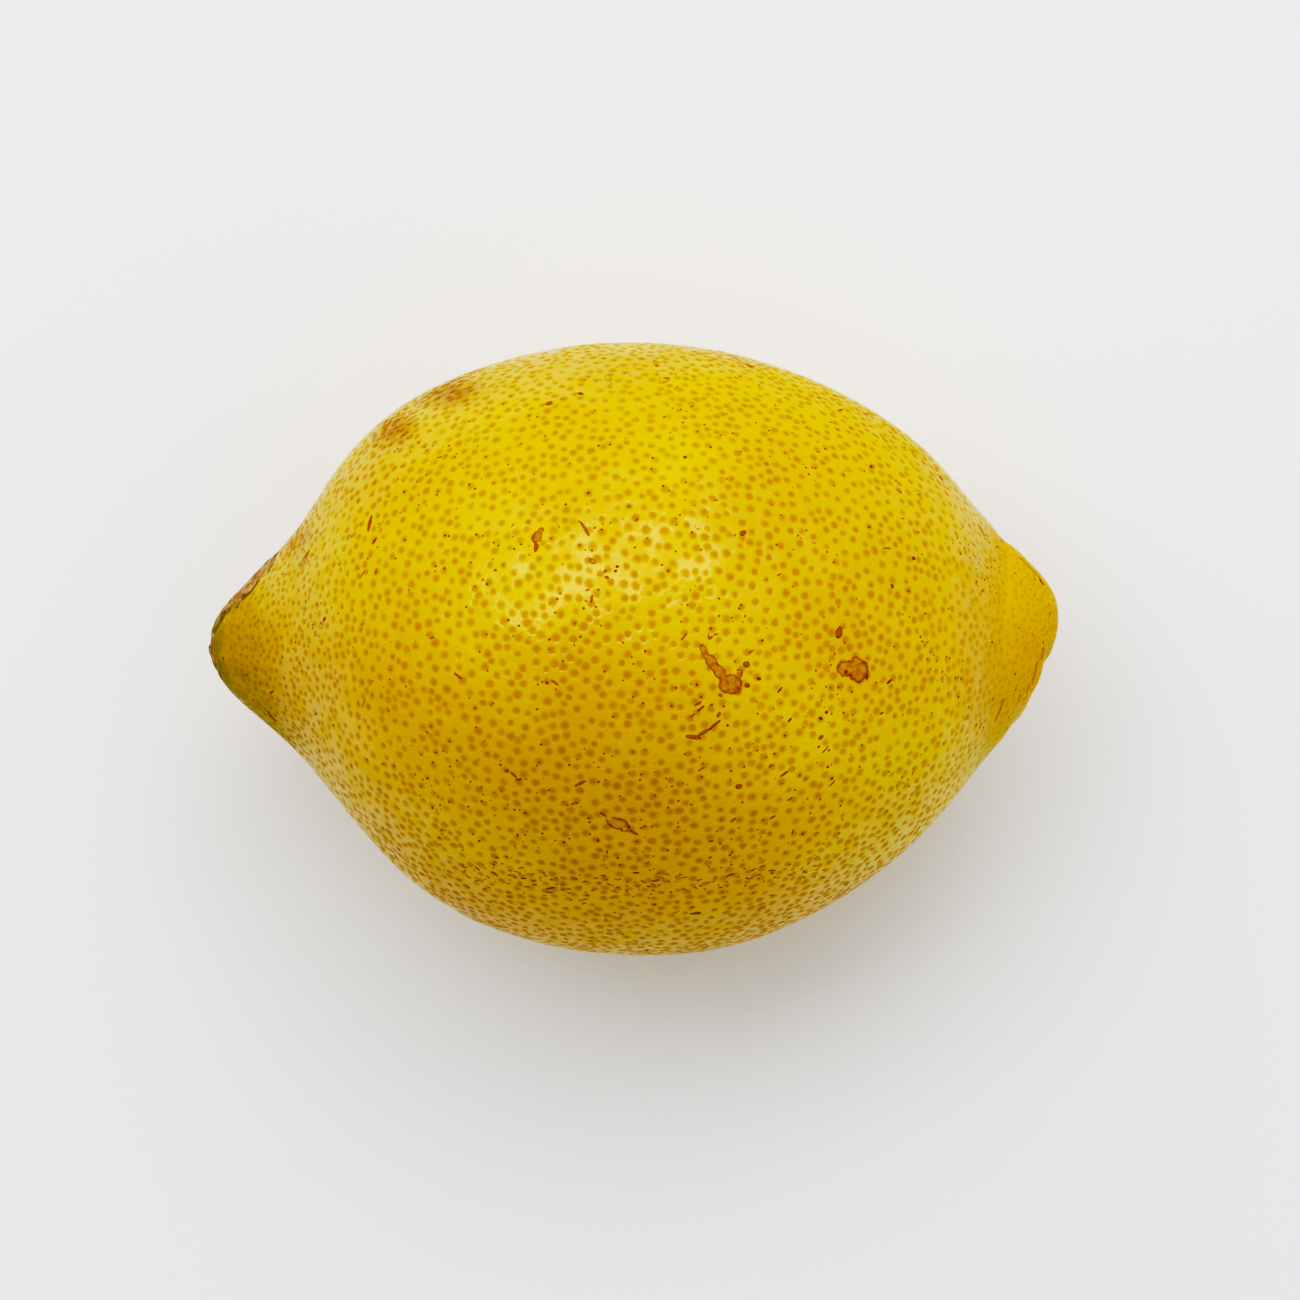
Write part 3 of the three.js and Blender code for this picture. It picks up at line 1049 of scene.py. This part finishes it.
# %% Draw the marks
TONE_END = 2  # the tone at the end of the ramp
DARKEST, MOSSY = colour(140, 68, 5), colour(112, 114, 46)
TONES = [
    (CREASE, colour(160, 92, 10)),
    (SCAR, colour(166, 108, 18)),
    (BLISTER, colour(194, 148, 20)),
    (CORK, colour(190, 154, 78)),
    (1.5, colour(158, 140, 70)),
]


def mark_painted(base, out, tone):
    """Paints one mark over the base, and gives the colour and how much of it shows."""
    shows = fade(out, 0.92, 1.08, 1, 0)
    shades = add("ShaderNodeValToRGB")
    feed(shades.inputs[0], times(minus(tone, darker), 1 / TONE_END))
    stops = shades.color_ramp.elements
    stops[0].position, stops[0].color = 0.0, DARKEST
    stops[1].position, stops[1].color = 1.0, MOSSY
    for tone_there, shade in TONES:
        stops.new(tone_there / TONE_END).color = shade
    return blend(shows, base, shades.outputs[0]), shows


painted, under_shows = mark_painted(dotted, under_out, under_tone)
painted, over_shows = mark_painted(painted, over_out, over_tone)
marked = larger(under_shows, over_shows)

# %% [markdown]
# ### Cork, and the stem scar
#
# The strip and the scar are cork: dry, tan and mottled with brown. Where cork meets living skin there is
# a thin dark edge, partly painted shade beside the raised cork and partly green skin. In the middle sits
# the stump, in a darker ring.

# %% Paint the strip and the stem scar
TAN, BROWN, EDGE_GREEN_AND_SHADE = colour(196, 166, 116), colour(164, 126, 72), colour(104, 90, 22)
STUMP, RING = colour(192, 160, 112), colour(126, 106, 52)

cork = blend(fade(noise(0.8, 3), 0.38, 0.6), TAN, BROWN)
worn = times(minus(noise(1.9, 3), 0.5), 3.6)
strip_edge = plus(strip_edge, worn)
on_strip = fade(strip_edge, 0.1, -0.15)
# the dark edge along the strip: partly painted shade beside the raised cork, partly green skin
edge_green_and_shade = times(fade(strip_edge, -0.5, 0.0), fade(strip_edge, 0.7, 0.1, 0, 0.9))
edge_green_and_shade = times(edge_green_and_shade, fade(noise(1.7, 2), 0.36, 0.56, 0.15, 1))
painted = blend(on_strip, painted, cork)
painted = blend(edge_green_and_shade, painted, EDGE_GREEN_AND_SHADE)

scar_radius = plus(stem_radius, times(worn, 0.8))
collar = fade(scar_radius, 3.3, 2.9)
painted = blend(fade(scar_radius, 5.2, 3.2, 0, 0.6), painted, GREEN)
painted = blend(collar, painted, cork)
ring = times(fade(scar_radius, 2.5, 1.9), fade(noise(1.3, 2), 0.4, 0.6, 0.2, 0.9))
painted = blend(ring, painted, RING)
stump = blend(fade(noise(0.5, 3), 0.35, 0.65), STUMP, BROWN)
painted = blend(fade(scar_radius, 1.7, 1.2), painted, stump)
dry = larger(larger(on_strip, edge_green_and_shade), collar)
marked = larger(marked, dry)

# %% [markdown]
# ### Gloss
#
# The wax is glossy between the glands, and dull in them and on the scars. It lies in patches, and is
# worn off where the fruit was handled. Both ends are matt. The rim is dulled too, because a bare gloss
# mirrors the table too brightly there.

# %% Set the roughness and the gloss
rough = fade(dots, 0.0, 0.8, 0.14, 0.4)
rough = plus(rough, fade(noise(6, 1), 0.3, 0.7, -0.03, 0.05))
rough = larger(rough, times(marked, 0.6))
grazing = add("ShaderNodeLayerWeight").outputs["Facing"]
on_neck = fade(maths("ABSOLUTE", x), 0.028, 0.035)
matt_end = larger(fade(past_furrow, -3.5, 0.2), fade(ochre_end, 36, 41))
near_rim = times(fade(y, -0.014, -0.025, 0, 0.5), fade(x, 0.022, 0.01, 0.4, 1))
worn_off = larger(larger(brushed, oval(20, 23, 24, 11)), near_rim)
gloss = fade(noise(2.6, 3), 0.4, 0.6, 0.2, 0.6)
for left_over in (  # what is left of the gloss in each kind of place
    fade(grazing, 0.5, 0.85, 1.0, 0.4),  # at the rim
    fade(dots, 0.1, 0.8, 1.0, 0.25),  # in the glands
    fade(times(dots, on_neck), 0.05, 0.4, 1.0, 0.25),  # and still less in those of both necks
    fade(matt_end, 0.0, 1.0, 1.0, 0.06),  # on the nipple and the stem tip
    fade(worn_off, 0.0, 0.8, 1.0, 0.15),  # and where it is worn
):
    gloss = times(gloss, left_over)

# %% [markdown]
# ### Relief
#
# The pits go in as bump too, because the mesh is only just fine enough to hold them, with a fine grain
# of skin on top. Marks stand up a little, and the dry parts are rough.

# %% Set the relief
BUMP_HEIGHT = 0.1 * MM
SWELL, GRAIN, PIT, MARK, ROUGH_CORK = 0.8, 0.16, -0.6, 0.35, 1.6  # shares of that height

height = plus(times(dots, PIT), times(noise(0.35, 2), GRAIN))
height = plus(height, times(noise(1.3, 2), SWELL))
height = plus(height, times(marked, MARK))
height = plus(height, times(times(dry, noise(0.6, 2)), ROUGH_CORK))
relief = add("ShaderNodeBump")
feed(relief.inputs["Height"], height)
feed(relief.inputs["Distance"], BUMP_HEIGHT)
feed(relief.inputs["Strength"], 1.0)

# %% [markdown]
# A little light enters the peel and comes out again beside, more of the red and green than of the blue.
# Then the skin gets its material, and takes the place of the solid.

# %% Join the material up and give it to the skin
wax = add("ShaderNodeBsdfPrincipled")
for name, value in {
    "Base Color": painted,
    "Roughness": rough,
    "Specular IOR Level": gloss,
    "Normal": relief.outputs[0],
    "IOR": 1.5,
    "Subsurface Weight": 0.08,
    "Subsurface Radius": (1.0, 0.55, 0.05),
    "Subsurface Scale": 1.2 * MM,
}.items():
    feed(wax.inputs[name], value)
feed(add("ShaderNodeOutputMaterial").inputs["Surface"], wax.outputs[0])
skin.data.materials.append(peel)
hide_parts("lemon")
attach(skin, "root")
print("The material has", len(tree.nodes), "nodes")

# %% [markdown]
# ## The stage
#
# The fruit lies on a plain, nearly white table.

# %% Lay the table
TABLE_COLOUR = (0.89, 0.896, 0.915, 1)

bpy.ops.object.select_all(action="DESELECT")
bpy.ops.mesh.primitive_plane_add(size=3)
table = bpy.context.object
table.name = "table"
table_paint = bpy.data.materials.new("table")
table_paint.use_nodes = True
board = table_paint.node_tree.nodes["Principled BSDF"]
board.inputs["Base Color"].default_value = TABLE_COLOUR
board.inputs["Roughness"].default_value = 0.7
table.data.materials.append(table_paint)

# %% [markdown]
# One large, soft light stands behind the fruit and above, like a window, so the far side is bright and
# a faint shadow falls towards us. A lamp's energy is shared out over its surface, so we work it out
# from how bright the surface should be.

# %% Hang the window
WINDOW_AWAY, WINDOW_LEFT = 0.6, 0.07
WINDOW_LEAN = math.radians(21.5)  # from straight above towards the back
WINDOW_WIDTH, WINDOW_DEPTH = 0.6, 0.24
WINDOW_BRIGHTNESS = 2.8
WINDOW_TURN = math.radians(7)  # in its own plane

lamp = bpy.data.lights.new("window", "AREA")
lamp.shape = "RECTANGLE"
lamp.size, lamp.size_y = WINDOW_WIDTH, WINDOW_DEPTH
lamp.energy = WINDOW_BRIGHTNESS * math.pi * WINDOW_WIDTH * WINDOW_DEPTH
window = bpy.data.objects.new("window", lamp)
bpy.context.scene.collection.objects.link(window)
up = WINDOW_AWAY * math.cos(WINDOW_LEAN)
window.location = (-WINDOW_LEFT, WINDOW_AWAY * math.sin(WINDOW_LEAN), up)
facing = (aim * MM - window.location).to_track_quat("-Z", "Y")
window.rotation_euler = (facing @ Quaternion((0, 0, 1), WINDOW_TURN)).to_euler()

# %% [markdown]
# The room gives the rest of the light. It is brightest at the back, dimmer in front and near the
# horizon, and has one pale wall at the front right.

# %% Light the room
FRONT_GLOW, BACK_GLOW, HORIZON_GLOW = 0.37, 1.27, 0.5
WALL_GLOW = 0.45

room = bpy.data.worlds.new("room")
bpy.context.scene.world = room
room.use_nodes = True
tree = room.node_tree
to_right, towards_back, upwards = parts(add("ShaderNodeTexCoord").outputs["Generated"])
glow = fade(towards_back, -0.8, 0.9, FRONT_GLOW, BACK_GLOW)
glow = plus(glow, fade(minus(to_right, towards_back), 0.6, 1.3, 0, WALL_GLOW))
glow = times(glow, fade(upwards, 0.0, 0.6, HORIZON_GLOW, 1.0))
feed(tree.nodes["Background"].inputs["Color"], (1.0, 1.0, 1.0, 1.0))
feed(tree.nodes["Background"].inputs["Strength"], glow)

# %% [markdown]
# The camera looks down from the place that was settled with the marks. Its long lens keeps the fruit
# from bulging towards us.

# %% Set up the camera
SENSOR, LENS = 36.0, 80.0
IMAGE_MIDDLE = (1.7, -0.14)  # where the middle of the picture lies, from the middle of the fruit

camera = bpy.data.objects.new("camera", bpy.data.cameras.new("camera"))
bpy.context.scene.collection.objects.link(camera)
camera.data.sensor_width, camera.data.lens = SENSOR, LENS
camera.data.clip_start = 0.01
shifted = IMAGE_MIDDLE[0] * Vector((1, 0, 0)) + IMAGE_MIDDLE[1] * view_up
camera.location = (eye + shifted) * MM
camera.rotation_euler = (tilt, 0, 0)
bpy.context.scene.camera = camera

# %% [markdown]
# A photograph has more contrast than the bare light in a scene. A curve takes each brightness in the
# scene to the one that is shown, and leaves the table a little under white.

# %% Set how light the picture is shown
GRADE = [(0.05, 0.001), (0.15, 0.07), (0.295, 0.216), (0.54, 0.536), (0.826, 0.752)]  # light, and shown
WHITE = 0.86  # how light the brightest white is shown

look = bpy.context.scene.view_settings
look.view_transform = "Standard"
look.use_curve_mapping = True
combined = look.curve_mapping.curves[3]
combined.points[1].location = (1.0, WHITE)
for light_in, shown in GRADE:
    combined.points.new(light_in, shown)
look.curve_mapping.update()
